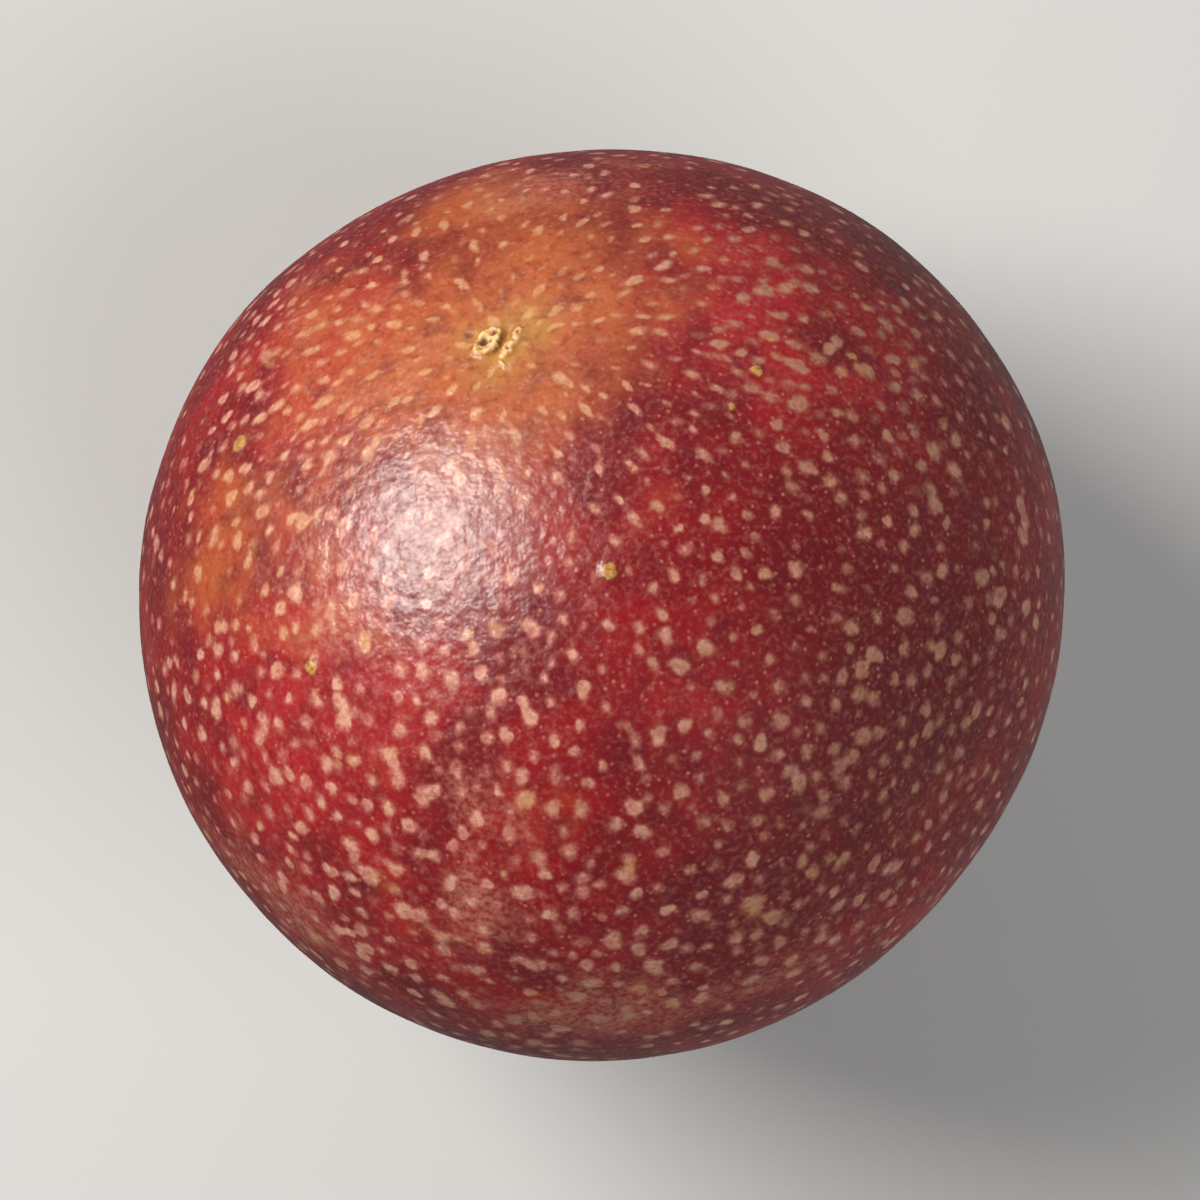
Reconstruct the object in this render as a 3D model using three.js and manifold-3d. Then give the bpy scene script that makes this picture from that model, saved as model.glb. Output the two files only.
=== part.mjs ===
// A whole passion fruit, lying on the small flat spot that its own weight presses into its skin.
//
// Millimetres, +Z up. The origin is on the surface that the fruit rests on, straight below its middle.
// The fruit grew as one piece, so it is one closed solid: skin, stalk scar and blossom stub together.
//
// The form is worked out in the fruit's own frame, with its middle at the origin and its stalk end at +Z,
// and is then tilted to the way that the fruit lies.

import * as THREE from 'three';
import { mergeVertices } from 'three/addons/utils/BufferGeometryUtils.js';
import Module from 'manifold-3d';

// The whole form. Turns go round the fruit's axis and spreads are angles seen from its middle, in degrees.
const WIDTH = 52.6; // across the fruit at its widest
const LENGTH = 49.2; // from the stalk end to the blossom end
const CARPEL_SWELL = 0.25; // the three carpels inside swell the skin by this much
const CARPEL_TURN = 29; // to the first carpel
const SHOULDER_DIP = 0.35; // the skin sinks a little round the stalk
const SHOULDER_SPREAD = 9;

// One side grew flatter.
const FLATTER_TURN = 324;
const FLATTER_DEPTH = 0.9;
const FLATTER_SPREAD = 16;

// The scar that the stalk left: two short corky ridges side by side.
const SCAR_RIDGES = [
  { x: -0.69, y: 0.29, turn: 64, length: 1.0, width: 0.5, height: 0.45 },
  { x: 0.78, y: 0.12, turn: 69, length: 0.95, width: 0.36, height: 0.4 },
];

// The blossom end: a low swelling, with the dried stub of the flower's style on it.
const BLOSSOM_SWELL = 0.5;
const BLOSSOM_SPREAD = 8;
const STUB_RADIUS = 1.1;
const STUB_HEIGHT = 1.1;
const STUB_SIDE = 0.7; // the width of the stub's sloping side

// How it lies.
const STALK_TILT = 37.4; // degrees from straight up to the stalk end
const STALK_TOWARD = 111.5; // degrees from +X towards +Y, seen from above
const MIDDLE_HEIGHT = 24.5; // from the surface that it rests on to the middle of the fruit

// How finely the skin is divided.
const SKIN_DETAIL = 20; // cuts along each edge of the icosahedron that the skin starts from
const FINER_AT_ENDS = 0.7; // 0 is an even division; towards 1 the two ends have smaller faces
const SAME_POINT = 1e-4;

const { degToRad, radToDeg, clamp, smoothstep } = THREE.MathUtils;

// A smooth hill of height 1, which has fallen to 1/e at the given spread.
const hill = (distance, spread) => Math.exp(-((distance / spread) ** 2));

// A direction from the middle of the fruit. Both angles are in degrees.
function directionAt(fromStalk, turn) {
  const sine = Math.sin(degToRad(fromStalk));
  return new THREE.Vector3(
    sine * Math.cos(degToRad(turn)),
    sine * Math.sin(degToRad(turn)),
    Math.cos(degToRad(fromStalk)),
  );
}

const flatterSide = directionAt(90, FLATTER_TURN);

// The height of the stalk scar above the skin, at x and y millimetres from the fruit's axis.
function scarHeight(x, y) {
  let height = 0;
  for (const ridge of SCAR_RIDGES) {
    const turn = degToRad(ridge.turn);
    const along = (x - ridge.x) * Math.cos(turn) + (y - ridge.y) * Math.sin(turn);
    const across = (y - ridge.y) * Math.cos(turn) - (x - ridge.x) * Math.sin(turn);
    height += ridge.height * hill(along, ridge.length) * hill(across, ridge.width);
  }
  return height;
}

// The height of the blossom stub above the skin, at a distance from the fruit's axis.
function stubHeight(fromAxis) {
  const foot = STUB_RADIUS + STUB_SIDE / 2;
  return STUB_HEIGHT * (1 - smoothstep(fromAxis, foot - STUB_SIDE, foot));
}

// From the middle of the fruit to its skin, along a direction of length 1.
function skinRadius(direction) {
  const sine = Math.hypot(direction.x, direction.y);
  const fromStalk = radToDeg(Math.acos(clamp(direction.z, -1, 1)));
  const turn = radToDeg(Math.atan2(direction.y, direction.x));
  const fromFlatter = radToDeg(direction.angleTo(flatterSide));

  let radius = 1 / Math.hypot(sine / (WIDTH / 2), direction.z / (LENGTH / 2));
  radius += CARPEL_SWELL * sine ** 2 * Math.cos(degToRad(3 * (turn - CARPEL_TURN)));
  radius -= SHOULDER_DIP * hill(fromStalk, SHOULDER_SPREAD);
  radius -= FLATTER_DEPTH * hill(fromFlatter, FLATTER_SPREAD);
  radius += BLOSSOM_SWELL * hill(180 - fromStalk, BLOSSOM_SPREAD);

  const x = (direction.x * LENGTH) / 2;
  const y = (direction.y * LENGTH) / 2;
  return radius + (direction.z > 0 ? scarHeight(x, y) : stubHeight(Math.hypot(x, y)));
}

// The fruit's skin as one closed surface round the fruit's own axis.
function skinSurface() {
  const skin = new THREE.IcosahedronGeometry(1, SKIN_DETAIL);
  skin.deleteAttribute('normal');
  skin.deleteAttribute('uv');
  const closed = mergeVertices(skin, SAME_POINT);
  const points = closed.attributes.position;
  const point = new THREE.Vector3();
  for (let i = 0; i < points.count; i += 1) {
    point.fromBufferAttribute(points, i).normalize();
    const even = Math.acos(clamp(point.z, -1, 1));
    const drawnIn = even - (FINER_AT_ENDS * Math.sin(2 * even)) / 2;
    const direction = directionAt(radToDeg(drawnIn), radToDeg(Math.atan2(point.y, point.x)));
    points.setXYZ(i, ...direction.multiplyScalar(skinRadius(direction)));
  }
  return closed;
}

const wasm = await Module();
wasm.setup();

function toSolid(geometry) {
  const mesh = new wasm.Mesh({
    numProp: 3,
    vertProperties: new Float32Array(geometry.attributes.position.array),
    triVerts: new Uint32Array(geometry.index.array),
  });
  return new wasm.Manifold(mesh);
}

function toGeometry(solid) {
  const mesh = solid.getMesh();
  const geometry = new THREE.BufferGeometry();
  geometry.setAttribute('position', new THREE.BufferAttribute(mesh.vertProperties, 3));
  geometry.setIndex(new THREE.BufferAttribute(mesh.triVerts, 1));
  geometry.computeVertexNormals();
  return geometry;
}

// Everything below the surface that the fruit rests on.
function groundBlock() {
  const size = 2 * WIDTH;
  const block = new THREE.BoxGeometry(size, size, size).translate(0, 0, -size / 2);
  block.deleteAttribute('normal');
  block.deleteAttribute('uv');
  return mergeVertices(block, SAME_POINT);
}

// Tilts the fruit's axis from straight up, lifts it, and takes the flat spot off its underside.
function restingFruit() {
  const upright = new THREE.Vector3(0, 0, 1);
  const stalkEnd = directionAt(STALK_TILT, STALK_TOWARD);
  const skin = skinSurface()
    .applyQuaternion(new THREE.Quaternion().setFromUnitVectors(upright, stalkEnd))
    .translate(0, 0, MIDDLE_HEIGHT);
  return toGeometry(toSolid(skin).subtract(toSolid(groundBlock())));
}

const skinMaterial = new THREE.MeshStandardMaterial({ color: 0x8f2d2e, roughness: 0.42, metalness: 0 });

const fruit = new THREE.Mesh(restingFruit(), skinMaterial);
fruit.name = 'fruit';

const passionFruit = new THREE.Group();
passionFruit.add(fruit);

export default passionFruit;
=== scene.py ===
"""A whole passion fruit on a plain pale floor, seen from straight above.

The fruit has the place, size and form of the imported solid, from the same values. Its finely divided
skin is made here, with the stalk scar, the blossom stub and the skin's gentle unevenness on it, and a
procedural material gives the colours, the speckles and the pebbled satin finish.

Lengths are in millimetres until they go into Blender, which takes metres. Angles are in degrees.
"""

import math

import bpy
import numpy as np
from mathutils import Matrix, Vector, noise


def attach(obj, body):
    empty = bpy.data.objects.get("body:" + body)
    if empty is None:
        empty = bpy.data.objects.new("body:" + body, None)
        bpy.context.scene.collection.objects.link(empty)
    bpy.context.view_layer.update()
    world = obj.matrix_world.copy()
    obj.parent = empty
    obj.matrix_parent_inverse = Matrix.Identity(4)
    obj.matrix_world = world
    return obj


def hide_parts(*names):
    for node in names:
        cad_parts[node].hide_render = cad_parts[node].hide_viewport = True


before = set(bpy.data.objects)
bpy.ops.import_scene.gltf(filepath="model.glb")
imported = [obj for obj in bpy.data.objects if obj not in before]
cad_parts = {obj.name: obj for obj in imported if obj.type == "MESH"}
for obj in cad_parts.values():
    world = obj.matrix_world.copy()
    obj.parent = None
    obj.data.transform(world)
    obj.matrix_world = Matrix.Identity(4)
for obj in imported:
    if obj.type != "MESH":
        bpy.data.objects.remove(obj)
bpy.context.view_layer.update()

MM = 0.001

# ---------------------------------------------------------------------------------------------------
# The form, with the same values as the solid's source. Turns go round the fruit's axis, and spreads are
# angles seen from its middle.

WIDTH = 52.6
LENGTH = 49.2
CARPELS = 3
CARPEL_SWELL = 0.25
CARPEL_TURN = 29
SHOULDER_DIP = 0.35
SHOULDER_SPREAD = 9
FLATTER_TURN = 324
FLATTER_DEPTH = 0.9
FLATTER_SPREAD = 16
BLOSSOM_SWELL = 0.5
BLOSSOM_SPREAD = 8
STUB_RADIUS = 1.1
STUB_HEIGHT = 1.1
STUB_SIDE = 0.7
STALK_TILT = 37.4
STALK_TOWARD = 111.5
MIDDLE_HEIGHT = 24.5

# The skin's mesh.
SKIN_DETAIL = 99  # cuts along each edge of the icosahedron that it starts from
DRAWN_TO_ENDS = 16  # faces move towards the nearer end by up to about half of this, in degrees
DRAWN_WITHIN = 20  # degrees from the end where that begins to level off
SAME_POINT_DIGITS = 6  # corners that agree to this many decimals are one corner

# Gentle unevenness of the skin: the size of the swells and how high they stand.
UNEVEN = ((9.0, 0.10), (4.0, 0.04), (1.9, 0.018))

# Every noise field has its own seed, which moves it to another place.
SEED_UNEVEN = 1  # and the two after it
SEED_BROAD = 11
SEED_MOTTLE = 12
SEED_CLUMPS = 13
SEED_YELLOWED = 14
SEED_STUB = 21
SEED_SCAR_X = 22
SEED_SCAR_Y = 23
SEED_CORK = 24
SEED_ZONES = 30  # and one after it for each further zone
SEED_SCABS = 41
SEED_SHIFT = (17.3, 5.1, 9.7)


def hill(distance, spread):
    """A smooth hill of height 1, which has fallen to 1/e at the given spread."""
    return np.exp(-((distance / spread) ** 2))


def smoothstep(value, low, high):
    t = np.clip((value - low) / (high - low), 0, 1)
    return t * t * (3 - 2 * t)


def from_polar(polar, turn):
    """Unit vectors at these angles from +Z and round it from +X, in radians."""
    return np.stack([np.sin(polar) * np.cos(turn), np.sin(polar) * np.sin(turn), np.cos(polar)], axis=-1)


def direction_at(polar, turn):
    """The unit vector at these angles from +Z and round it from +X, in degrees."""
    return from_polar(math.radians(polar), math.radians(turn))


def degrees_between(directions, direction):
    return np.degrees(np.arccos(np.clip(directions @ direction, -1, 1)))


def icosahedron_faces():
    """The twelve corners of an icosahedron with edges 2 long, and its twenty faces."""
    golden = (1 + math.sqrt(5)) / 2
    corners = []
    for a in (-1, 1):
        for b in (-golden, golden):
            corners += [(0, a, b), (a, b, 0), (b, 0, a)]
    corners = np.array(corners, float)
    apart = np.linalg.norm(corners[:, None] - corners[None], axis=2)
    near = np.isclose(apart, 2)
    many = len(corners)
    faces = [
        (a, b, c)
        for a in range(many) for b in range(a + 1, many) for c in range(b + 1, many)
        if near[a, b] and near[b, c] and near[a, c]
    ]
    return corners, faces


def icosahedron_grid(cuts):
    """Unit vectors and triangles of an icosahedron whose edges are each cut into equal steps."""
    step = [(i, j) for i in range(cuts + 1) for j in range(cuts + 1 - i)]
    number = {ij: k for k, ij in enumerate(step)}
    share = np.array([((cuts - i - j), i, j) for i, j in step], float) / cuts
    small = []
    for i, j in step:
        if i + j < cuts:
            small.append((number[i, j], number[i + 1, j], number[i, j + 1]))
        if i + j < cuts - 1:
            small.append((number[i + 1, j], number[i + 1, j + 1], number[i, j + 1]))
    small = np.array(small)
    corners, faces = icosahedron_faces()
    points, triangles = [], []
    for k, face in enumerate(faces):
        corner = corners[list(face)]
        outward = np.dot(np.cross(corner[1] - corner[0], corner[2] - corner[0]), corner.sum(0)) > 0
        points.append(share @ corner)
        triangles.append((small if outward else small[:, ::-1]) + k * len(step))
    points = np.concatenate(points)
    points /= np.linalg.norm(points, axis=1, keepdims=True)
    rounded = np.round(points, SAME_POINT_DIGITS)
    _, first, same = np.unique(rounded, axis=0, return_index=True, return_inverse=True)
    return points[first], same.reshape(-1)[np.concatenate(triangles)]


def drawn_to_ends(points):
    """Moves directions towards the nearer end of the fruit, so that small forms there get small faces."""
    even = np.degrees(np.arccos(np.clip(points[:, 2], -1, 1)))
    from_end = np.minimum(even, 180 - even)
    moved = DRAWN_TO_ENDS * (1 - np.exp(-from_end / DRAWN_WITHIN)) * (1 - from_end / 90)
    polar = np.radians(np.where(even < 90, even - moved, even + moved))
    return from_polar(polar, np.arctan2(points[:, 1], points[:, 0]))


def plain_radius(points):
    """From the fruit's middle to its skin without the scar, the stub or the unevenness."""
    sine = np.hypot(points[:, 0], points[:, 1])
    from_stalk = np.degrees(np.arccos(np.clip(points[:, 2], -1, 1)))
    turn = np.arctan2(points[:, 1], points[:, 0])
    from_flatter = degrees_between(points, direction_at(90, FLATTER_TURN))
    radius = 1 / np.hypot(sine / (WIDTH / 2), points[:, 2] / (LENGTH / 2))
    radius += CARPEL_SWELL * sine**2 * np.cos(CARPELS * (turn - math.radians(CARPEL_TURN)))
    radius -= SHOULDER_DIP * hill(from_stalk, SHOULDER_SPREAD)
    radius -= FLATTER_DEPTH * hill(from_flatter, FLATTER_SPREAD)
    radius += BLOSSOM_SWELL * hill(180 - from_stalk, BLOSSOM_SPREAD)
    return radius


def noise_at(places, size, seed, octaves=1):
    """Blender's own smooth noise, about -1 to 1, at places in millimetres."""
    shift = seed * np.array(SEED_SHIFT)
    total = np.zeros(len(places))
    for octave in range(octaves):
        scaled = places * (2**octave / size) + shift
        total += np.array([noise.noise(p) for p in scaled.tolist()]) / 2**octave
    return total


def unevenness(places):
    height = np.zeros(len(places))
    for number, (size, amount) in enumerate(UNEVEN):
        height += amount * noise_at(places, size, SEED_UNEVEN + number)
    return height


# ---------------------------------------------------------------------------------------------------
# The stalk scar, in millimetres from the fruit's axis as the stalk end is looked at, x to the right.

# The first ridge, a ring like an ear: its middle, turn and half sizes, its wall's width, and its height.
EAR = {"x": -0.69, "y": 0.29, "turn": 62, "length": 1.06, "width": 0.70, "wall": 0.17, "height": 0.27}
EAR_CREST = 0.78  # where the ear's wall is highest, as a share of its half sizes
EAR_INSIDE = (0.7, 1.0)  # the shares of its half sizes between which its inside ends
EAR_FLOOR = 0.30  # how high the inside stands, as a share of the wall
BEADS = (  # the second ridge: corky beads in a row, as x, y, radius and height
    (1.02, 0.92, 0.30, 0.20),
    (0.96, 0.48, 0.38, 0.25),
    (0.78, 0.00, 0.38, 0.27),
    (0.54, -0.42, 0.35, 0.23),
    (0.26, -0.78, 0.28, 0.16),
)
PITS = (  # x, y, radius and depth
    (-0.98, 0.44, 0.31, 0.46),
    (-0.36, 0.86, 0.19, 0.36),
    (-0.56, 0.36, 0.20, 0.14),
    (-0.82, -0.30, 0.12, 0.18),
    (1.00, 0.62, 0.15, 0.26),
    (0.76, 0.16, 0.14, 0.22),
    (0.56, -0.30, 0.12, 0.16),
    (1.14, 1.12, 0.13, 0.20),
    (-1.86, 0.86, 0.34, 0.12),
)
# A groove between the ridges, and a curl of cork below them.
GROOVE = {"x": 0.14, "y": 0.22, "turn": 66, "length": 1.0, "width": 0.20, "height": -0.18}
CURL = {"x": 0.2, "y": -1.34, "turn": -38, "length": 0.30, "width": 0.11, "height": 0.26}
SCAR_ROUGH = 0.16  # how ragged the scar's forms are
SCAR_GRAIN = 0.42  # and the size of that raggedness
CORKY_INSIDE = 0.75  # how much of the surface is cork, against 1 on the ear's wall
CORKY_BEAD = 0.85
CORKY_CURL = 1.2
CORK_ROUGH = 0.05
CORK_GRAIN = 0.22
GLOW = (  # the yellowish skin round the scar: x, y, radius and strength
    (1.45, 1.05, 1.40, 1.0),
    (0.35, 0.10, 1.9, 0.85),
    (-0.2, -1.7, 1.3, 0.65),
    (-1.7, 0.6, 0.9, 0.6),
)

# The blossom stub.
STUB_LOBES = ((3, 0.10, 0.6), (7, 0.05, 2.0))  # how many, how deep for a radius of 1, and a turn in radians
STUB_ROUGH = 0.28  # as a share of its height
STUB_GRAIN = 0.45
STUB_HOLLOW = 0.35  # the hollow in its top, as a share of its height
STUB_HOLLOW_RADIUS = 0.42
STUB_WOOD = (0.05, 0.5)  # the shares of its height between which skin turns to dry wood

ENDS_FROM = 0.9  # the stalk end and the blossom end lie past this cosine of the angle from the axis


def along_and_across(x, y, mark):
    """Distances along and across a mark that is turned in the plane."""
    turn = math.radians(mark["turn"])
    along = (x - mark["x"]) * math.cos(turn) + (y - mark["y"]) * math.sin(turn)
    across = (y - mark["y"]) * math.cos(turn) - (x - mark["x"]) * math.sin(turn)
    return along, across


def scar_forms(points, x, y):
    """The scar's height, and how much of its surface is pale cork, brown pit and yellowish skin."""
    places = points * LENGTH / 2
    x = x + SCAR_ROUGH * noise_at(places, SCAR_GRAIN, SEED_SCAR_X, octaves=2)
    y = y + SCAR_ROUGH * noise_at(places, SCAR_GRAIN, SEED_SCAR_Y, octaves=2)
    along, across = along_and_across(x, y, EAR)
    oval = np.hypot(along / EAR["length"], across / EAR["width"])
    mean = (EAR["length"] + EAR["width"]) / 2
    wall = hill((oval - EAR_CREST) * mean, EAR["wall"])
    inside = 1 - smoothstep(oval, *EAR_INSIDE)
    height = EAR["height"] * (wall + EAR_FLOOR * inside * (1 - wall))
    cork = np.maximum(wall, CORKY_INSIDE * inside)
    for bead_x, bead_y, radius, tall in BEADS:
        bead = hill(np.hypot(x - bead_x, y - bead_y), radius)
        height += tall * bead
        cork = np.maximum(cork, CORKY_BEAD * bead)
    for mark, corky in ((GROOVE, 0), (CURL, CORKY_CURL)):
        along, across = along_and_across(x, y, mark)
        ridge = hill(along, mark["length"]) * hill(across, mark["width"])
        height += mark["height"] * ridge
        cork = np.maximum(cork, corky * ridge)
    pit = np.zeros(len(x))
    for pit_x, pit_y, radius, deep in PITS:
        hole = hill(np.hypot(x - pit_x, y - pit_y), radius)
        height -= deep * hole
        pit = np.maximum(pit, hole)
    height += CORK_ROUGH * cork * noise_at(places, CORK_GRAIN, SEED_CORK)
    plain = np.ones(len(x))
    for glow_x, glow_y, radius, strength in GLOW:
        plain *= 1 - strength * hill(np.hypot(x - glow_x, y - glow_y), radius)
    return height, np.clip(cork, 0, 1), pit, 1 - plain


def stub_forms(points, x, y):
    """The blossom stub's height, and how much of the surface is its dark dry wood."""
    from_axis = np.hypot(x, y)
    turn = np.arctan2(y, x)
    lobed = np.ones(len(x))
    for many, depth, start in STUB_LOBES:
        lobed += depth * np.cos(many * turn + start)
    foot = STUB_RADIUS * lobed + STUB_SIDE / 2
    stub = 1 - smoothstep(from_axis, foot - STUB_SIDE, foot)
    rough = noise_at(points * LENGTH / 2, STUB_GRAIN, SEED_STUB)
    hollow = hill(from_axis, STUB_HOLLOW_RADIUS)
    height = STUB_HEIGHT * stub * (1 + STUB_ROUGH * rough - STUB_HOLLOW * hollow)
    return height, smoothstep(stub, *STUB_WOOD)


# ---------------------------------------------------------------------------------------------------
# Where the fruit's colours lie, with some painted shade, a painted highlight and a painted reflection among
# them.
# Places are millimetres right and up of the fruit's middle, seen from straight above, each with a spread in
# degrees round it and a strength.

OUTLINE_RADIUS = 26.2
OUTLINE_SHARE = 0.995  # places at the outline or outside it are taken to lie this far out

FLUSH = (  # the orange wash round the stalk
    (-5.4, 14.8, 17, 0.95),
    (-3.0, 20.4, 13, 0.75),
    (-12.0, 12.2, 12, 0.60),
    (-6.0, 11.2, 10, 0.45),
    (-7.0, 23.4, 12, 0.60),
    (-20.1, 3.5, 15, 0.62),
    (-15.5, 17.0, 14, 0.50),
    (3.0, 18.5, 12, 0.30),
    (-11.4, -9.1, 5, 0.40),
    (-13.5, -15.0, 6, 0.35),
    (-13.5, -0.5, 8, 0.40),
)
BRIGHT = (  # the clearer, brighter red
    (-16.5, -8.0, 24, 0.85),
    (-15.0, 15.0, 18, 0.75),
    (7.0, 18.0, 17, 0.65),
    (13.0, 11.0, 14, 0.35),
    (4.0, -4.0, 12, 0.35),
)
# Maroon skin, partly painted shade: the spot at the left rim darkens it as a close neighbour's shade would,
# and the large spot on the right darkens the side turned away from the key light, partly as painted shade.
MAROON_AND_SHADE = (
    (-24.5, 1.0, 10, 0.50),
    (17.0, -4.0, 27, 0.85),
    (12.5, 4.0, 14, 0.35),
    (8.0, -16.0, 18, 0.65),
    (-3.0, -4.0, 12, 0.30),
    (19.0, 11.0, 12, 0.30),
)
PALE_AND_REFLECTION = (  # a pinkish veil where speckles have merged; the spot at the top is partly a painted reflection of a pale haze
    (-15.5, -18.0, 13, 0.40),
    (-2.0, 24.5, 15, 0.60),
    (-15.0, 17.0, 14, 0.45),
    (-13.5, -1.0, 9, 0.50),
    (-7.0, -10.5, 6, 0.8),
    (-6.5, -16.5, 7, 0.8),
    (0.5, -22.5, 13, 0.55),
    (10.0, -20.5, 12, 0.35),
    (-20.5, -14.5, 10, 0.45),
)
PAINTED_HIGHLIGHT = (  # a painted highlight: a whitish veil where the key light's highlight lies seen from above
    (-9.0, 4.5, 13, 0.95),
)
BROWNER_AND_SHADE = (  # where the speckles are tan, not pink, and darker; on the right side this is partly painted shade
    (15.0, -8.0, 34, 0.95),
    (12.0, 14.0, 28, 0.90),
    (-2.0, -24.0, 18, 0.60),
)
CROWDED = (  # where the speckles lie thick and run together
    (-15.0, -9.0, 20, 0.75),
    (1.5, -7.5, 15, 0.15),
    (-9.0, 3.5, 15, 0.60),
    (-8.0, -18.0, 32, 0.95),
    (-21.0, 3.0, 22, 0.30),
    (-15.0, 14.0, 24, 0.80),
    (10.0, -19.0, 18, 0.50),
    (13.0, 15.0, 26, 0.85),
    (17.0, -9.0, 22, 0.50),
    (21.0, -2.0, 16, 0.25),
    (-5.4, 14.8, 13, 0.70),
)

ZONES = (  # name, spots, and how strong a place has to be for the colour to begin and to be full
    ("flush", FLUSH, 0.10, 0.95),
    ("bright", BRIGHT, 0.10, 0.90),
    ("maroon_and_shade", MAROON_AND_SHADE, 0.10, 0.90),
    ("browner_and_shade", BROWNER_AND_SHADE, 0.05, 0.90),
    ("pale", PALE_AND_REFLECTION, 0.20, 0.95),
    ("painted_highlight", PAINTED_HIGHLIGHT, 0.15, 0.85),
)

# Noise in the colours: a size in millimetres, and for most a share or the range that it is used over.
BROAD_SIZE = 6.0
BROAD_IN_ZONES = 0.30
SHADE_RANGE = (-0.5, 0.6)
ZONE_EDGE_SIZE = 2.4
ZONE_EDGE_SHARE = 0.22
MOTTLE_SIZE = 2.2
MOTTLE_RANGE = (0.0, 0.75)
YELLOWED_SIZE = 2.0
YELLOWED_RANGE = (0.25, 0.55)
CLUMP_SIZE = 5.0
CLUMP_SHARE = 0.5

# Small scabs: places as above, then the radius in millimetres and how dark it is.
SCABS = (
    (0.5, 1.6, 0.48, 0.20),
    (8.8, 12.9, 0.40, 0.20),
    (7.4, 10.9, 0.28, 0.30),
    (-16.0, -3.7, 0.50, 0.15),
    (-20.5, 8.9, 0.60, 0.10),
)
SCAB_FADE = 1.5  # radii from a scab's middle to where it has gone
SCAB_RAGGED = 0.25
SCAB_GRAIN = 0.5
SCAB_DARK_WITHIN = 3  # radii within which a point takes the scab's darkness


def seen_direction(right, up):
    """The direction from the fruit's middle to a place seen from above, in the row's frame."""
    across = np.array([right, up]) / OUTLINE_RADIUS
    reach = np.linalg.norm(across)
    across /= max(1.0, reach / OUTLINE_SHARE)
    return np.array([*across, math.sqrt(1 - across @ across)])


def zone(directions, spots):
    """How strongly a zone shows at each direction: its spots joined softly."""
    left = np.ones(len(directions))
    for right, up, spread, strength in spots:
        away = degrees_between(directions, seen_direction(right, up))
        left *= 1 - strength * hill(away, spread)
    return 1 - left


def scab_forms(directions, pattern):
    """How much each point is scab, and how dark that scab is."""
    scab = np.zeros(len(directions))
    dark = np.zeros(len(directions))
    ragged = SCAB_RAGGED * noise_at(pattern, SCAB_GRAIN, SEED_SCABS)
    for right, up, radius, darkness in SCABS:
        away = np.linalg.norm(directions - seen_direction(right, up), axis=1) * WIDTH / 2
        near = np.clip(SCAB_FADE - away / radius + ragged, 0, 1)
        dark = np.where(away < SCAB_DARK_WITHIN * radius, darkness, dark)
        scab = np.maximum(scab, near)
    return scab, dark


# ---------------------------------------------------------------------------------------------------
# The speckles, in millimetres on the skin. A speckle is one to four ovals run together, its lobes, which
# are drawn out away from the stalk. The lobes are dealt out to layers in which they keep clear of each
# other. Every point of the skin then carries the way to the nearest lobe of each layer, so the material
# can draw that lobe finely.

SPECKLE_SEED = 20
SPECKLE_TRIES = 24000
SPECKLE_GAP = 1.15  # from a speckle's middle to the nearest other one's
CROWDED_GAP = 0.90
SPECKLE_SHARE = 0.42  # of the tried places with room that get a speckle
CROWDED_SHARE = 1.0
LOBES_MANY = (0.42, 0.18, 0.22, 0.18)  # the shares of speckles with one to four lobes
LOBE_TURN = 78  # degrees round the first lobe from one of its neighbours to the next
LOBE_TURN_VARIES = 0.35  # radians more or less
LOBE_RADIUS = (0.25, 0.47)
LATER_LOBES = (0.60, 0.95)  # how wide they are, as a share of the first lobe
CROWDED_LARGER = 0.10  # how much wider the lobes are where the speckles lie thick
LOBE_STRENGTH = (0.38, 0.96)
STRENGTH_VARIES = (0.85, 1.15)  # from one lobe of a speckle to the next
FAINTER_APART = 0.82  # how strong they are where they lie apart, as a share of the strength in a crowd
LOBE_APART = (0.40, 0.56)  # from the first lobe to each other one, as a share of both radii together
LOBE_CLEAR = 0.80  # free skin round a lobe within its layer
LOBE_LAYERS = 7
STRETCH_AT_STALK = 2.1  # how much longer than wide the lobes are
STRETCH_ELSEWHERE = 1.0
STRETCH_VARIES = (0.85, 1.25)
STRETCH_SPREAD = 32
SMALLER_AT_STALK = 0.25
LOBE_SWING = 24  # degrees that a lobe may point away from the stalk's direction
FACE_SLACK = 0.40  # how far the skin's faces cut across a lobe's curve, as a share of its half sizes
NEAREST_PARTS = 40  # the points are looked at in this many parts, which saves memory

LEAST_LENGTH = 1e-6  # stands in for a length of 0, which can't be divided by

# What an array of lobes holds in its columns.
MIDDLE = slice(0, 3)
ALONG = slice(3, 6)
ACROSS = slice(6, 9)
HALF_LENGTH = 9
HALF_WIDTH = 10
STRENGTH = 11
LOBE_COLUMNS = 12


def away_from_stalk(directions):
    """Unit vectors along the skin, away from the stalk, and round the fruit's axis."""
    around = np.cross((0, 0, 1), directions)
    around /= np.maximum(np.linalg.norm(around, axis=-1, keepdims=True), LEAST_LENGTH)
    return np.cross(around, directions), around


def near_stalk(direction):
    """1 at the stalk, falling smoothly to 0 with the distance from it."""
    return hill(math.degrees(math.acos(min(1.0, direction[2]))), STRETCH_SPREAD)


def random_directions(draw, many):
    directions = draw.normal(size=(many, 3))
    return directions / np.linalg.norm(directions, axis=1, keepdims=True)


def scatter_speckles(draw, crowded_at):
    """Directions of the speckles from the fruit's middle, and how crowded they are there."""
    tries = random_directions(draw, SPECKLE_TRIES)
    crowded = crowded_at(tries)
    share = SPECKLE_SHARE + (CROWDED_SHARE - SPECKLE_SHARE) * crowded
    gap = SPECKLE_GAP + (CROWDED_GAP - SPECKLE_GAP) * crowded
    kept = draw.random(len(tries)) < share
    for number, direction in enumerate(tries):
        earlier = tries[:number][kept[:number]]
        if kept[number] and len(earlier):
            kept[number] = (np.linalg.norm(earlier - direction, axis=1) * WIDTH / 2).min() > gap[number]
    return tries[kept], crowded[kept]


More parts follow.
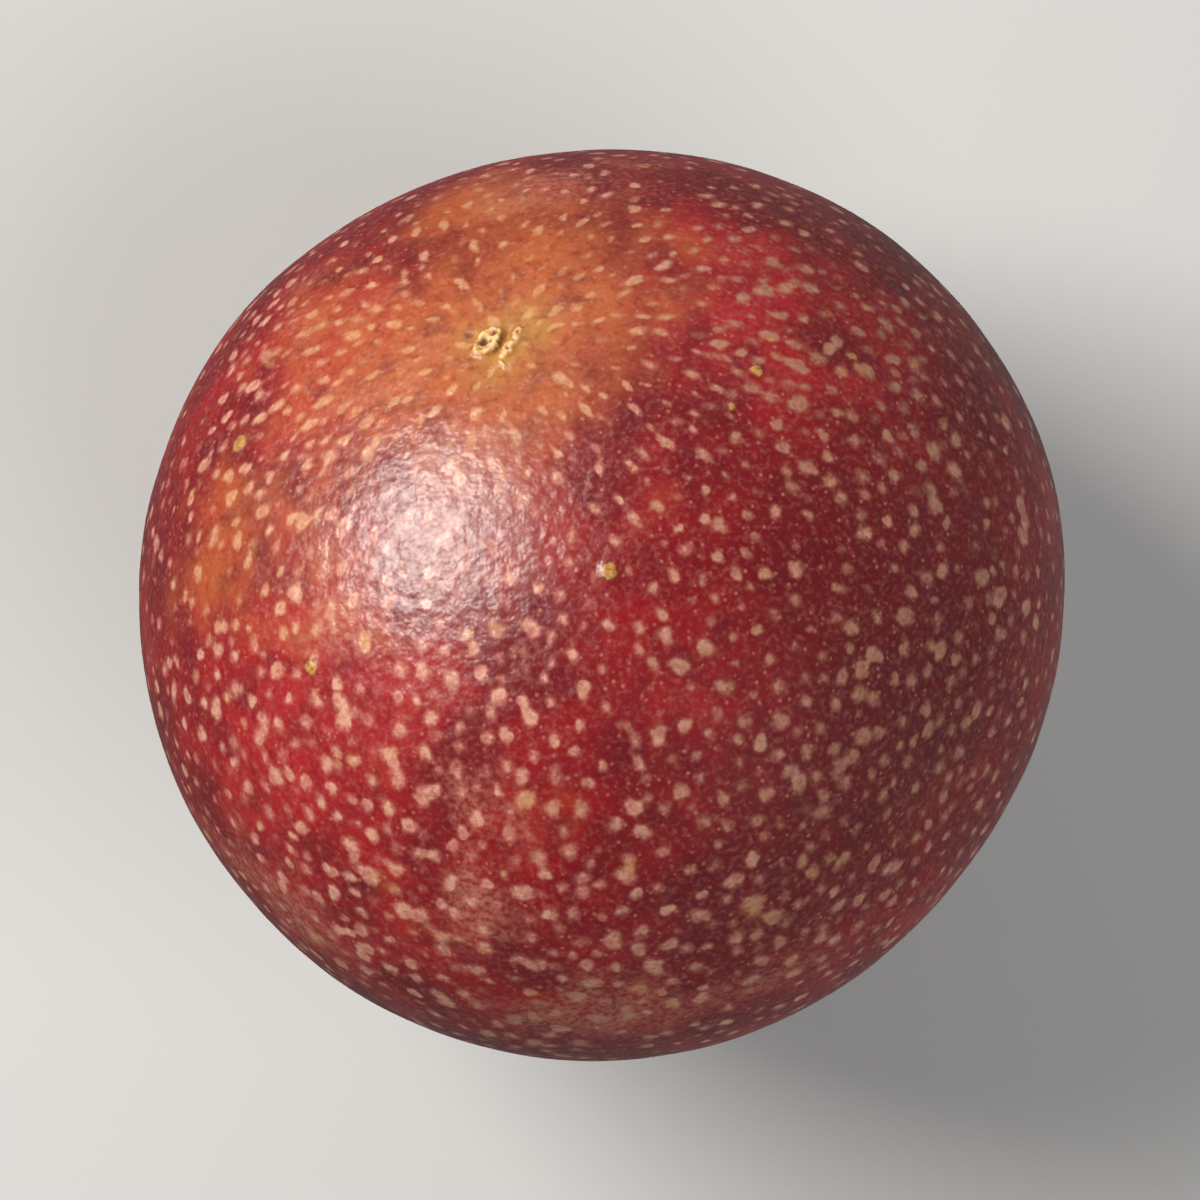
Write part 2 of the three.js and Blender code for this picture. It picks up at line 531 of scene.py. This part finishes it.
def speckle_lobes(draw, place, count, radius, strength):
    """One speckle's lobes: the first at its place, and the others round it."""
    stretch = STRETCH_ELSEWHERE + (STRETCH_AT_STALK - STRETCH_ELSEWHERE) * near_stalk(place)
    drawn_out = math.sqrt(stretch)
    radius *= 1 - SMALLER_AT_STALK * near_stalk(place)
    first = draw.uniform(0, 2 * math.pi)
    for number in range(count):
        varied = draw.uniform(-LOBE_TURN_VARIES, LOBE_TURN_VARIES)
        bearing = first + number * math.radians(LOBE_TURN) + varied
        shrunk = radius * (1 if number == 0 else draw.uniform(*LATER_LOBES))
        reach = 0 if number == 0 else draw.uniform(*LOBE_APART) * (radius + shrunk)
        south, east = away_from_stalk(place)
        offset = south * math.cos(bearing) * drawn_out + east * math.sin(bearing) / drawn_out
        middle = place + offset * reach / (WIDTH / 2)
        middle /= np.linalg.norm(middle)
        swing = math.radians(draw.uniform(-LOBE_SWING, LOBE_SWING))
        south, east = away_from_stalk(middle)
        along = south * math.cos(swing) + east * math.sin(swing)
        across = east * math.cos(swing) - south * math.sin(swing)
        longer = math.sqrt(stretch * draw.uniform(*STRETCH_VARIES))
        strength = min(1.0, strength * draw.uniform(*STRENGTH_VARIES))
        yield (*middle, *along, *across, shrunk * longer, shrunk / longer, strength)


def make_lobes(draw, speckles, crowded):
    """An array of lobes: each one's direction, its unit vectors, its half sizes and its strength."""
    many = draw.choice(len(LOBES_MANY), size=len(speckles), p=LOBES_MANY) + 1
    radius = draw.uniform(*LOBE_RADIUS, size=len(speckles)) + CROWDED_LARGER * crowded
    strength = draw.uniform(*LOBE_STRENGTH, size=len(speckles))
    strength *= FAINTER_APART + (1 - FAINTER_APART) * crowded
    lobes = []
    for speckle in zip(speckles, many, radius, strength):
        lobes += speckle_lobes(draw, *speckle)
    return np.array(lobes)


def deal_out(lobes):
    """Shares the lobes out to the layers, and leaves out those that have no room in any."""
    layers = [[] for _ in range(LOBE_LAYERS)]
    for lobe in lobes:
        for layer in sorted(layers, key=len):
            others = np.array(layer) if layer else np.zeros((0, LOBE_COLUMNS))
            apart = np.linalg.norm(others[:, MIDDLE] - lobe[MIDDLE], axis=1) * WIDTH / 2
            if not (apart < others[:, HALF_LENGTH] + lobe[HALF_LENGTH] + LOBE_CLEAR).any():
                layer.append(lobe)
                break
    return [np.array(layer) for layer in layers]


def nearest_lobe(points, lobes):
    """For each point, the way to its nearest lobe, in that lobe's half sizes, and the lobe's strength."""
    middles = lobes[:, MIDDLE].T.astype(np.float32)
    nearest = np.concatenate([
        np.argmax(part.astype(np.float32) @ middles, axis=1)
        for part in np.array_split(points, NEAREST_PARTS)
    ])
    lobe = lobes[nearest]
    way = (points - lobe[:, MIDDLE]) * WIDTH / 2
    along = (way * lobe[:, ALONG]).sum(1) / lobe[:, HALF_LENGTH]
    across = (way * lobe[:, ACROSS]).sum(1) / lobe[:, HALF_WIDTH]
    # A face between two lobes must not take their opposite ways for a place inside a lobe.
    least = np.hypot(along, across) - FACE_SLACK
    return np.stack([along, across, least], axis=1), lobe[:, STRENGTH]


def add_attribute(mesh, name, values):
    """Gives each point of the mesh a number or a vector."""
    kind, key = ("FLOAT", "value") if values.ndim == 1 else ("FLOAT_VECTOR", "vector")
    attribute = mesh.attributes.new(name, kind, "POINT")
    attribute.data.foreach_set(key, np.ascontiguousarray(values, dtype=np.float32).ravel())


def add_colour_fields(mesh, directions, pattern):
    """The zones, the broad shades, the mottles and the scabs."""
    broad = noise_at(pattern, BROAD_SIZE, SEED_BROAD, octaves=3)
    for number, (name, spots, low, high) in enumerate(ZONES):
        edge = noise_at(pattern, ZONE_EDGE_SIZE, SEED_ZONES + number, octaves=2)
        ragged = zone(directions, spots) + BROAD_IN_ZONES * broad + ZONE_EDGE_SHARE * edge
        add_attribute(mesh, name, smoothstep(ragged, low, high))
    mottle = noise_at(pattern, MOTTLE_SIZE, SEED_MOTTLE, octaves=3)
    yellowed = noise_at(pattern, YELLOWED_SIZE, SEED_YELLOWED)
    scab, dark = scab_forms(directions, pattern)
    add_attribute(mesh, "mottle", smoothstep(mottle, *MOTTLE_RANGE))
    add_attribute(mesh, "shade", smoothstep(broad, *SHADE_RANGE))
    add_attribute(mesh, "yellowed", smoothstep(yellowed, *YELLOWED_RANGE))
    add_attribute(mesh, "scab", scab)
    add_attribute(mesh, "scab_dark", dark)


def add_speckles(mesh, points, tilt):
    """Each layer's nearest lobe and its strength."""

    def crowded_at(tries):
        clumps = noise_at(tries * WIDTH / 2, CLUMP_SIZE, SEED_CLUMPS, octaves=2)
        return np.clip(zone(tries @ tilt.T, CROWDED) + CLUMP_SHARE * clumps, 0, 1)

    draw = np.random.default_rng(SPECKLE_SEED)
    speckles, crowded = scatter_speckles(draw, crowded_at)
    for number, lobes in enumerate(deal_out(make_lobes(draw, speckles, crowded))):
        way, strength = nearest_lobe(points, lobes)
        add_attribute(mesh, f"lobe_{number}", way)
        add_attribute(mesh, f"strength_{number}", strength)


def make_fruit():
    even, triangles = icosahedron_grid(SKIN_DETAIL)
    points = drawn_to_ends(even)
    x, y = (points[:, :2] * LENGTH / 2).T
    stalk_end = points[:, 2] > ENDS_FROM
    blossom_end = points[:, 2] < -ENDS_FROM
    scar, cork, pit, glow = scar_forms(points, x, y)
    stub, wood = stub_forms(points, x, y)
    height = np.where(stalk_end, scar, 0) + np.where(blossom_end, stub, 0)
    pattern = points * WIDTH / 2
    radius = plain_radius(points) + height + unevenness(pattern)

    turn = Vector((0, 0, 1)).rotation_difference(Vector(direction_at(STALK_TILT, STALK_TOWARD)))
    tilt = np.array(turn.to_matrix())
    places = (points * radius[:, None]) @ tilt.T + (0, 0, MIDDLE_HEIGHT)
    places[:, 2] = np.maximum(places[:, 2], 0)  # the flat spot that it lies on

    mesh = bpy.data.meshes.new("passion_fruit_skin")
    mesh.from_pydata((places * MM).tolist(), [], triangles.tolist())
    mesh.shade_smooth()
    add_attribute(mesh, "pattern", pattern)
    add_colour_fields(mesh, points @ tilt.T, pattern)
    add_speckles(mesh, points, tilt)
    for name, values in (("cork", cork), ("pit", pit), ("glow", glow)):
        add_attribute(mesh, name, np.where(stalk_end, values, 0))
    add_attribute(mesh, "wood", np.where(blossom_end, wood, 0))
    fruit = bpy.data.objects.new("passion_fruit_skin", mesh)
    bpy.context.collection.objects.link(fruit)
    return fruit


# ---------------------------------------------------------------------------------------------------
# The skin's material. Colours are linear.

CRIMSON = (0.190, 0.0045, 0.0075)
BRIGHT_RED = (0.240, 0.0075, 0.0105)
DARK_RED = (0.110, 0.0045, 0.0070)
# Maroon, also used as painted shade.
MAROON_AND_SHADE_RED = (0.085, 0.0060, 0.0080)
PURPLE = (0.070, 0.0035, 0.0085)
ORANGE = (0.280, 0.0620, 0.0140)
OLIVE = (0.290, 0.1350, 0.0230)
PINKISH_TAN = (0.330, 0.1050, 0.0700)
VEIL = (0.300, 0.1080, 0.0720)
# The whitish tint of the painted highlight.
PAINTED_HIGHLIGHT_TINT = (0.215, 0.0720, 0.0600)
SPECKLE_RIM = (0.350, 0.120, 0.095)
SPECKLE_MIDDLE = (0.440, 0.235, 0.160)
# Tan speckles, darker, partly painted shade on the right side.
SPECKLE_TAN_AND_SHADE = (0.255, 0.118, 0.070)
SPECKLE_OLIVE = (0.350, 0.185, 0.050)
SPECKLE_YELLOW = (0.440, 0.250, 0.105)
CORK = (0.350, 0.180, 0.055)
PALE_CORK = (0.520, 0.350, 0.160)
PIT_BROWN = (0.130, 0.036, 0.010)
DRY_BROWN = (0.070, 0.035, 0.015)
SCAB_GOLD = (0.360, 0.180, 0.045)
SCAB_BROWN = (0.080, 0.028, 0.010)

# Noise textures: size in millimetres, detail and roughness.
FINE = (0.70, 3, 0.65)
PEEL = (0.34, 2, 0.55)
WAVES = (0.86, 2, 0.45)
LOBE_SHAKING = (0.42, 1, 0.5)
SPECKLE_GRAIN = (0.26, 1, 0.5)

# Ranges. A value that rises from the first number to the second gives a result that goes from the third
# to the fourth, or from 0 to 1 where there are only two.
DARK_FLECKS = (0.30, 0.50, 0.45, 0.0)
PALE_FLECKS = (0.48, 0.75, 0.0, 0.24)
GLOW_PATCHES = (0.30, 0.60, 0.45, 1.0)
VEIL_PATCHES = (0.35, 0.60, 0.15, 0.75)
PORE_STRENGTH = (0.1, 1.0, 0.0, 0.70)
PORE_REACH = (0.08, 0.32)
GRAIN_FACTOR = (0.2, 0.8, 0.60, 1.40)
SPECKLE_EDGE = (0.05, 0.90)  # the field at which a speckle begins and is full
SPECKLE_INSIDE = (0.35, 1.0)
INSIDE_PATCHES = (0.35, 0.60)
SPECKLE_STRENGTH = (0.30, 0.62, 0.62, 0.94)
FAINTER_IN_FLUSH = (0.0, 1.0, 1.0, 0.58)
FAINTER_IN_PAINTED_HIGHLIGHT = (0.0, 1.0, 1.0, 0.55)
PALE_CORK_PATCHES = (0.35, 0.62)
CORK_EDGE = (0.30, 0.80)
PIT_EDGE = (0.30, 0.85)
SCAB_EDGE = (0.25, 0.75)
SCAB_RIM = (0.45, 0.75, 0.6, 0.0)
SCAB_PATCHES = (0.40, 0.60, 0.35, -0.15)
SKIN_ROUGHNESS = (0.3, 0.7, 0.38, 0.48)
SKIN_SPECULAR = (0.35, 0.65, 0.28, 0.52)
COAT_WEIGHT = (0.38, 0.64, 0.1015, 0.4785)

MOTTLE_SHARE = 0.5
PAINTED_HIGHLIGHT_SHARE = 0.50
BROWNER_AND_SHADE_SHARE = 0.85
YELLOWED_SHARE = 0.4
PORE_SPACING = 0.52
LOBE_FADE = 1.6  # a lobe's field reaches this many times as far as its own edge
LOBE_SHAKE = 0.22  # how ragged the lobes are, as a share of their half sizes
SOFT_RELIEF = 0.110
SHARP_RELIEF = 0.062
WAVES_IN_PEBBLES = 2.0
PEEL_IN_PEBBLES = 0.7
DRY_ROUGHER = 0.35
COAT_ROUGHNESS = 0.23


class Shader:
    """Adds shader nodes to a new material and joins them."""

    def __init__(self, name):
        self.material = bpy.data.materials.new(name)
        self.material.use_nodes = True
        self.tree = self.material.node_tree
        self.tree.nodes.clear()

    def node(self, kind, inputs=None, **settings):
        made = self.tree.nodes.new("ShaderNode" + kind)
        for name, value in settings.items():
            setattr(made, name, value)
        for name, value in (inputs or {}).items():
            self.put(made.inputs[name], value)
        return made

    def put(self, socket, value):
        if isinstance(value, bpy.types.NodeSocket):
            self.tree.links.new(value, socket)
        else:
            socket.default_value = value

    def attribute(self, name, output="Fac"):
        return self.node("Attribute", attribute_name=name).outputs[output]

    def math(self, operation, a, b=0.0, c=0.0):
        return self.node("Math", {0: a, 1: b, 2: c}, operation=operation).outputs[0]

    def times(self, a, b):
        return self.math("MULTIPLY", a, b)

    def vector_math(self, operation, a, b):
        inputs = {0: a, "Scale" if operation == "SCALE" else 1: b}
        return self.node("VectorMath", inputs, operation=operation).outputs["Vector"]

    def length(self, vector):
        return self.node("VectorMath", {0: vector}, operation="LENGTH").outputs["Value"]

    def remap(self, value, low, high, to_low=0.0, to_high=1.0, kind="SMOOTHSTEP"):
        inputs = {"Value": value, "From Min": low, "From Max": high, "To Min": to_low, "To Max": to_high}
        return self.node("MapRange", inputs, interpolation_type=kind).outputs["Result"]

    def mix(self, share, a, b):
        """Mixes two colours, each an output or three numbers."""
        made = self.node("Mix", data_type="RGBA")
        sockets = (made.inputs[0], made.inputs[6], made.inputs[7])
        for socket, value in zip(sockets, (share, a, b)):
            self.put(socket, (*value, 1.0) if isinstance(value, tuple) else value)
        return made.outputs[2]

    def noise(self, where, size, detail, roughness, output="Fac"):
        inputs = {"Vector": where, "Scale": 1 / size, "Detail": detail, "Roughness": roughness}
        return self.node("TexNoise", inputs, noise_dimensions="3D").outputs[output]

    def surface(self, inputs):
        """Ends the material in a Principled surface with these inputs."""
        made = self.node("BsdfPrincipled", inputs)
        self.node("OutputMaterial", {"Surface": made.outputs["BSDF"]})
        return self.material


def ground_colour(shader, place, fine, peel):
    """The skin under the speckles: zones, among them painted shade and a painted highlight, mottles, flecks
    and small faint pores.
    """
    ground = shader.mix(shader.attribute("shade"), DARK_RED, CRIMSON)
    # The maroon zone is partly painted shade, at the left rim and on the right side.
    for zone_name, colour in (("bright", BRIGHT_RED), ("maroon_and_shade", MAROON_AND_SHADE_RED), ("flush", ORANGE)):
        ground = shader.mix(shader.attribute(zone_name), ground, colour)
    ground = shader.mix(shader.times(shader.attribute("mottle"), MOTTLE_SHARE), ground, PURPLE)
    ground = shader.mix(shader.remap(fine, *DARK_FLECKS), ground, DARK_RED)
    ground = shader.mix(shader.remap(peel, *PALE_FLECKS), ground, PINKISH_TAN)
    glow = shader.times(shader.attribute("glow"), shader.remap(fine, *GLOW_PATCHES))
    ground = shader.mix(glow, ground, OLIVE)
    # The pale veil is partly a painted reflection of a pale haze, at the top.
    veil = shader.times(shader.attribute("pale"), shader.remap(peel, *VEIL_PATCHES))
    ground = shader.mix(veil, ground, VEIL)
    # Painted highlight: the skin is whitened where the key light's highlight lies.
    ground = shader.mix(shader.times(shader.attribute("painted_highlight"), PAINTED_HIGHLIGHT_SHARE), ground, PAINTED_HIGHLIGHT_TINT)

    cell = shader.node("TexVoronoi", {"Vector": place, "Scale": 1 / PORE_SPACING})
    chance = shader.node("SeparateColor", {"Color": cell.outputs["Color"]}).outputs["Red"]
    strength = shader.remap(chance, *PORE_STRENGTH)
    pore = shader.remap(cell.outputs["Distance"], *PORE_REACH, strength, 0.0)
    return shader.mix(pore, ground, PINKISH_TAN)


def speckle_field(shader, place):
    """How deep inside a speckle each place lies: 0 outside, and about 1 in the middle of a strong lobe."""
    shake = shader.noise(place, *LOBE_SHAKING, output="Color")
    shake = shader.vector_math("SUBTRACT", shake, (0.5, 0.5, 0.5))
    shake = shader.vector_math("SCALE", shake, 2 * LOBE_SHAKE)
    total = 0.0
    for number in range(LOBE_LAYERS):
        way = shader.attribute(f"lobe_{number}", "Vector")
        least = shader.node("SeparateXYZ", {"Vector": way}).outputs["Z"]
        flat = shader.vector_math("MULTIPLY", shader.vector_math("ADD", way, shake), (1, 1, 0))
        reach = shader.math("MAXIMUM", shader.length(flat), least)
        field = shader.remap(reach, 0.0, LOBE_FADE, shader.attribute(f"strength_{number}"), 0.0)
        total = shader.math("ADD", total, field)
    grain = shader.noise(place, *SPECKLE_GRAIN)
    return shader.times(total, shader.remap(grain, *GRAIN_FACTOR, kind="LINEAR"))


def add_speckle_colour(shader, skin, place, fine, peel):
    """Speckles, pinkish at the rim and paler inside, tan or yellowish in their zones."""
    field = speckle_field(shader, place)
    inner = shader.times(shader.remap(field, *SPECKLE_INSIDE), shader.remap(fine, *INSIDE_PATCHES))
    colour = shader.mix(inner, SPECKLE_RIM, SPECKLE_MIDDLE)
    # The tan speckles are partly painted shade on the right side.
    colour = shader.mix(shader.times(shader.attribute("browner_and_shade"), BROWNER_AND_SHADE_SHARE), colour, SPECKLE_TAN_AND_SHADE)
    colour = shader.mix(shader.attribute("flush"), colour, SPECKLE_YELLOW)
    colour = shader.mix(shader.times(shader.attribute("yellowed"), YELLOWED_SHARE), colour, SPECKLE_OLIVE)
    strength = shader.remap(peel, *SPECKLE_STRENGTH)
    # Speckles are fainter under the painted highlight.
    for zone_name, fainter in (("flush", FAINTER_IN_FLUSH), ("painted_highlight", FAINTER_IN_PAINTED_HIGHLIGHT)):
        factor = shader.remap(shader.attribute(zone_name), *fainter, kind="LINEAR")
        strength = shader.times(strength, factor)
    return shader.mix(shader.times(shader.remap(field, *SPECKLE_EDGE), strength), skin, colour)


def add_dry_parts(shader, skin, cork, pit, wood, scab, peel):
    """The scar's cork and pits, the blossom stub's wood, and the scabs with their darker rims."""
    cork_colour = shader.mix(shader.remap(peel, *PALE_CORK_PATCHES), CORK, PALE_CORK)
    skin = shader.mix(shader.remap(cork, *CORK_EDGE), skin, cork_colour)
    skin = shader.mix(shader.remap(pit, *PIT_EDGE), skin, PIT_BROWN)
    skin = shader.mix(wood, skin, DRY_BROWN)
    brown = shader.math("ADD", shader.attribute("scab_dark"), shader.remap(peel, *SCAB_PATCHES))
    brown = shader.math("ADD", brown, shader.remap(scab, *SCAB_RIM))
    scab_colour = shader.mix(brown, SCAB_GOLD, SCAB_BROWN)
    return shader.mix(shader.remap(scab, *SCAB_EDGE), skin, scab_colour)


def skin_material():
    shader = Shader("fruit_skin")
    place = shader.attribute("pattern", "Vector")
    fine = shader.noise(place, *FINE)
    peel = shader.noise(place, *PEEL)
    cork, pit, wood, scab = [shader.attribute(name) for name in ("cork", "pit", "wood", "scab")]
    skin = ground_colour(shader, place, fine, peel)
    skin = add_speckle_colour(shader, skin, place, fine, peel)
    skin = add_dry_parts(shader, skin, cork, pit, wood, scab, peel)

    # The relief: the waxy coat glints on fine pebbles, over a softer sheen that follows broader waves.
    raised = shader.math("ADD", scab, shader.noise(place, *WAVES))
    soft = shader.node("Bump", {"Height": raised, "Distance": SOFT_RELIEF * MM})
    pebbles = shader.math("MULTIPLY_ADD", raised, WAVES_IN_PEBBLES, shader.times(peel, PEEL_IN_PEBBLES))
    sharp = shader.node("Bump", {"Height": pebbles, "Distance": SHARP_RELIEF * MM})

    # The dry parts are rougher and have no waxy coat.
    dry = shader.math("MAXIMUM", shader.math("MAXIMUM", cork, wood), pit)
    rough = shader.math("MULTIPLY_ADD", dry, DRY_ROUGHER, shader.remap(fine, *SKIN_ROUGHNESS))
    waxy = shader.math("SUBTRACT", 1.0, dry)
    return shader.surface({
        "Base Color": skin,
        "Roughness": rough,
        "Normal": soft.outputs["Normal"],
        "Specular IOR Level": shader.remap(peel, *SKIN_SPECULAR),
        "Coat Weight": shader.times(waxy, shader.remap(fine, *COAT_WEIGHT)),
        "Coat Roughness": COAT_ROUGHNESS,
        "Coat Normal": sharp.outputs["Normal"],
    })


# ---------------------------------------------------------------------------------------------------
# The studio.

CAMERA_LENS = 200  # mm, on a sensor 36 mm wide
SENSOR = 36
NEAREST_SEEN = 10
FRAME_WIDTH = 68.0  # how much of the width the picture takes in at the fruit's middle, in mm

FLOOR_COLOUR = (0.38, 0.38, 0.38)
FLOOR_REACH = 2000  # from its middle to each side
FLOOR_BELOW = 0.1  # below the fruit's flat spot, so that the two faces don't meet
FLOOR_ROUGHNESS = 0.9
FLOOR_SPECULAR = 0.1

# Soft lights: azimuth, elevation, distance in metres, sides in metres, power, colour, and whether the
# light shows in reflections.
WHITE = (1.0, 1.0, 1.0)
WARM = (1.0, 0.96, 0.90)
LIGHTS = {
    "key": (152, 41, 0.6, (0.32, 0.34), 7.6, WARM, True),
    "back": (95, 8, 1.0, (0.8, 0.8), 4.5, WHITE, False),
    "fill": (-38, 45, 1.2, (1.0, 1.0), 12.5, WHITE, False),
}

# The world's brightness is the product of three ranges. Each is the part of the direction that it
# follows, two values of that, the brightness at each, and how it goes from one to the other.
WORLD_COLOUR = (1.0, 0.98, 0.95, 1.0)
WORLD_RANGES = (
    ("Z", 0.0, 0.9, 0.32, 0.035, "SMOOTHSTEP"),  # darker overhead
    ("X", -1.0, 0.6, 0.35, 1.0, "LINEAR"),  # darker on the left
    ("Z", -0.2, 0.1, 0.60, 1.0, "LINEAR"),  # darker below the horizon
)


def make_floor():
    mesh = bpy.data.meshes.new("floor")
    reach = FLOOR_REACH * MM
    corners = [(-reach, -reach, 0), (reach, -reach, 0), (reach, reach, 0), (-reach, reach, 0)]
    mesh.from_pydata(corners, [], [(0, 1, 2, 3)])
    mesh.materials.append(Shader("floor").surface({
        "Base Color": (*FLOOR_COLOUR, 1.0),
        "Roughness": FLOOR_ROUGHNESS,
        "Specular IOR Level": FLOOR_SPECULAR,
    }))
    floor = bpy.data.objects.new("floor", mesh)
    floor.location.z = -FLOOR_BELOW * MM
    floor.visible_glossy = False
    bpy.context.collection.objects.link(floor)


def make_area_light(name, azimuth, elevation, distance, sides, power, colour, reflected):
    """A soft light that looks at the fruit's middle."""
    lamp = bpy.data.lights.new(name, "AREA")
    lamp.shape = "RECTANGLE"
    lamp.size, lamp.size_y = sides
    lamp.energy = power
    lamp.color = colour
    turn, rise = math.radians(azimuth), math.radians(elevation)
    middle = Vector((0, 0, MIDDLE_HEIGHT * MM))
    away = Vector((math.cos(turn) * math.cos(rise), math.sin(turn) * math.cos(rise), math.sin(rise)))
    light = bpy.data.objects.new(name, lamp)
    light.location = middle + away * distance
    light.rotation_euler = away.to_track_quat("Z", "Y").to_euler()
    light.visible_glossy = reflected
    bpy.context.collection.objects.link(light)


def make_camera():
    camera = bpy.data.objects.new("camera", bpy.data.cameras.new("camera"))
    camera.data.lens = CAMERA_LENS
    camera.data.sensor_width = SENSOR
    distance = FRAME_WIDTH * CAMERA_LENS / SENSOR
    camera.location = (0, 0, (MIDDLE_HEIGHT + distance) * MM)
    camera.data.clip_start = NEAREST_SEEN * MM
    bpy.context.collection.objects.link(camera)
    bpy.context.scene.camera = camera


def make_world():
    """A studio that is dark overhead and light round about, so that the gloss stays in the key light."""
    world = bpy.data.worlds.new("studio")
    world.use_nodes = True
    nodes = world.node_tree.nodes
    links = world.node_tree.links
    background = nodes["Background"]
    background.inputs["Color"].default_value = WORLD_COLOUR
    split = nodes.new("ShaderNodeSeparateXYZ")
    links.new(nodes.new("ShaderNodeTexCoord").outputs["Generated"], split.inputs["Vector"])
    strength = None
    for axis, low, high, at_low, at_high, kind in WORLD_RANGES:
        fade = nodes.new("ShaderNodeMapRange")
        fade.interpolation_type = kind
        for name, value in (("From Min", low), ("From Max", high), ("To Min", at_low), ("To Max", at_high)):
            fade.inputs[name].default_value = value
        links.new(split.outputs[axis], fade.inputs["Value"])
        if strength is None:
            strength = fade.outputs["Result"]
            continue
        product = nodes.new("ShaderNodeMath")
        product.operation = "MULTIPLY"
        links.new(strength, product.inputs[0])
        links.new(fade.outputs["Result"], product.inputs[1])
        strength = product.outputs[0]
    links.new(strength, background.inputs["Strength"])
    bpy.context.scene.world = world


fruit = make_fruit()
fruit.data.materials.append(skin_material())
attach(fruit, "root")
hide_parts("fruit")

make_floor()
make_world()
for light_name, light_settings in LIGHTS.items():
    make_area_light(light_name, *light_settings)
make_camera()
bpy.context.scene.view_settings.view_transform = "Standard"
